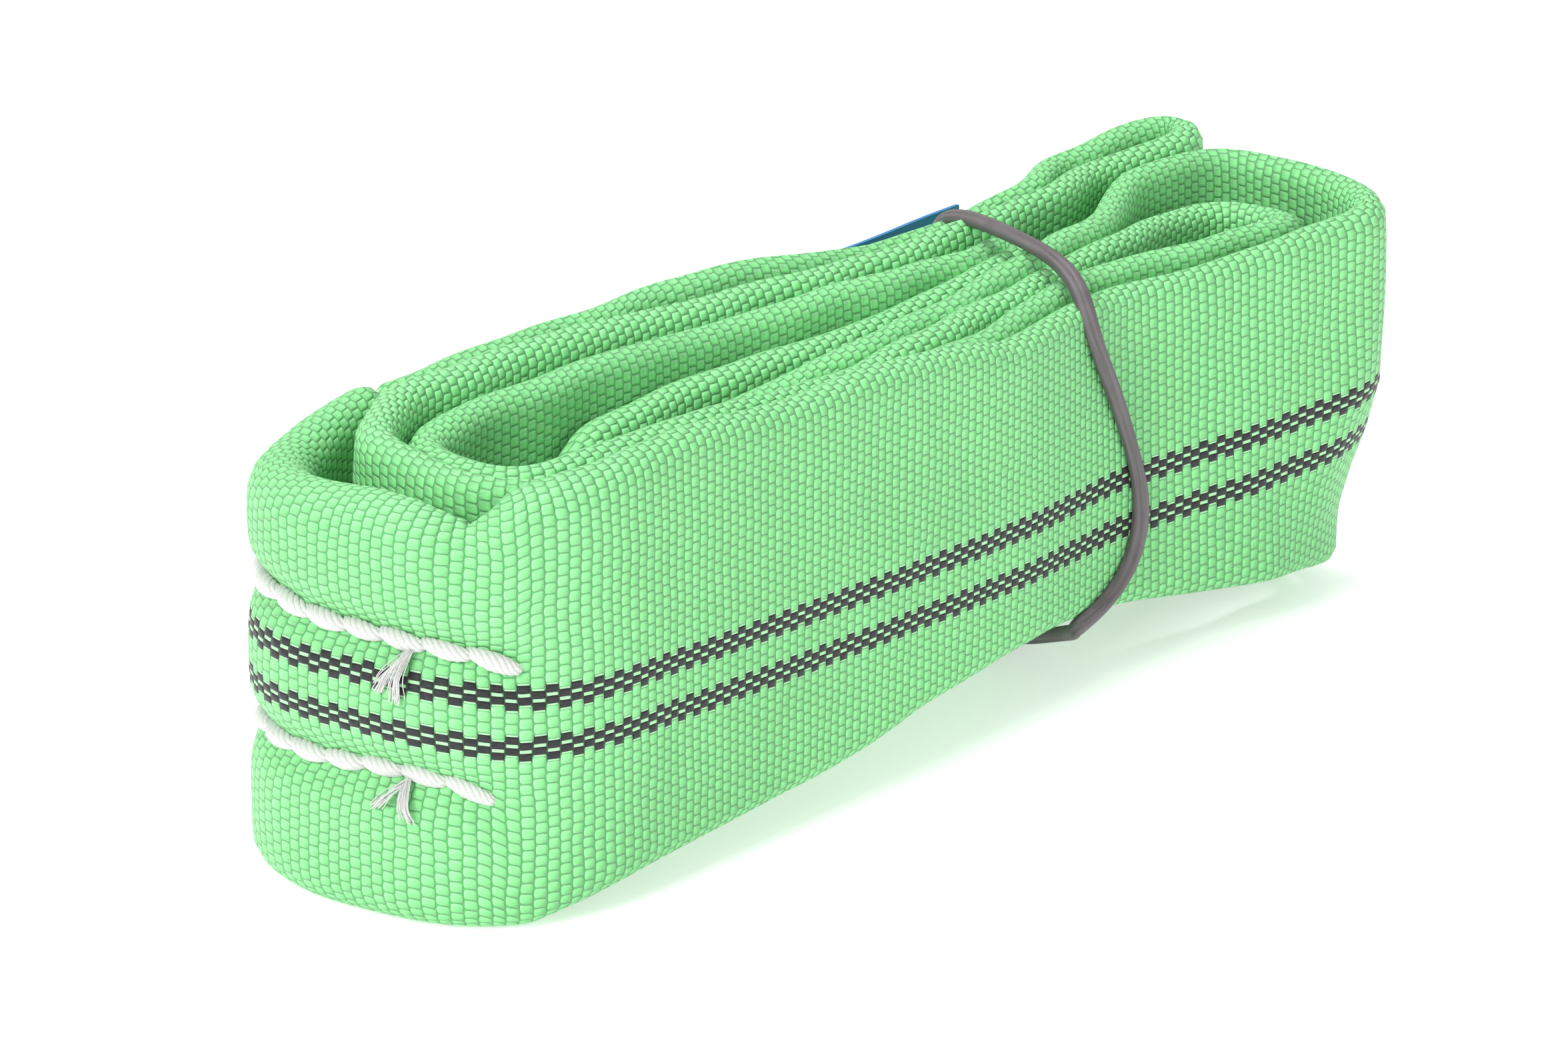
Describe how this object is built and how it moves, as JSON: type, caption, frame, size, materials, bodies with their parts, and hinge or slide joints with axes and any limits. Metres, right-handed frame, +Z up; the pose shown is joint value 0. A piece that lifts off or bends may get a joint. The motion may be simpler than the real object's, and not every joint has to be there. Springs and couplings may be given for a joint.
{
  "type": "round sling",
  "caption": "Endless textile round sling folded into an upright bundle and held at its waist by a rubber band, with a sewn fabric label.",
  "frame": {"origin": "middle of the bundle's footprint, on the surface it stands on", "axes": "+X along the folded legs towards the end with the loose loops, the stitched bend at -X; +Y towards the back, where the label is sewn on; +Z up, across the width of the sleeve"},
  "size_m": [0.1974, 0.0592, 0.0632],
  "materials": {
    "sleeve_cloth": "coarse plain weave, two charcoal marker stripes",
    "core_yarn": "raw polyester yarn",
    "sewing_thread": "twisted thread",
    "band_rubber": "matt",
    "label_cloth": "smooth coated label"
  },
  "bodies": {
    "bundle": {"woven_sleeve": "sleeve_cloth", "core_yarn_hank": "core_yarn", "upper_needle_thread": "sewing_thread", "lower_needle_thread": "sewing_thread", "upper_locking_thread": "sewing_thread", "lower_locking_thread": "sewing_thread", "label_hem": "label_cloth", "label_seam_thread": "sewing_thread"},
    "band": {"rubber_band": "band_rubber"},
    "label": {"label_flap": "label_cloth"}
  },
  "joints": [
    {"name": "band_pull_off", "type": "slide", "parent": "bundle", "child": "band", "axis": [1, 0, 0], "range_m": [0, 0.09], "deforming": ["rubber_band"]},
    {"name": "label_fold", "type": "hinge", "parent": "bundle", "child": "label", "pos_m": [-0.00527, 0.02288, 0.00456], "axis": [0, 0, 1], "range_deg": [0, 130]}
  ]
}
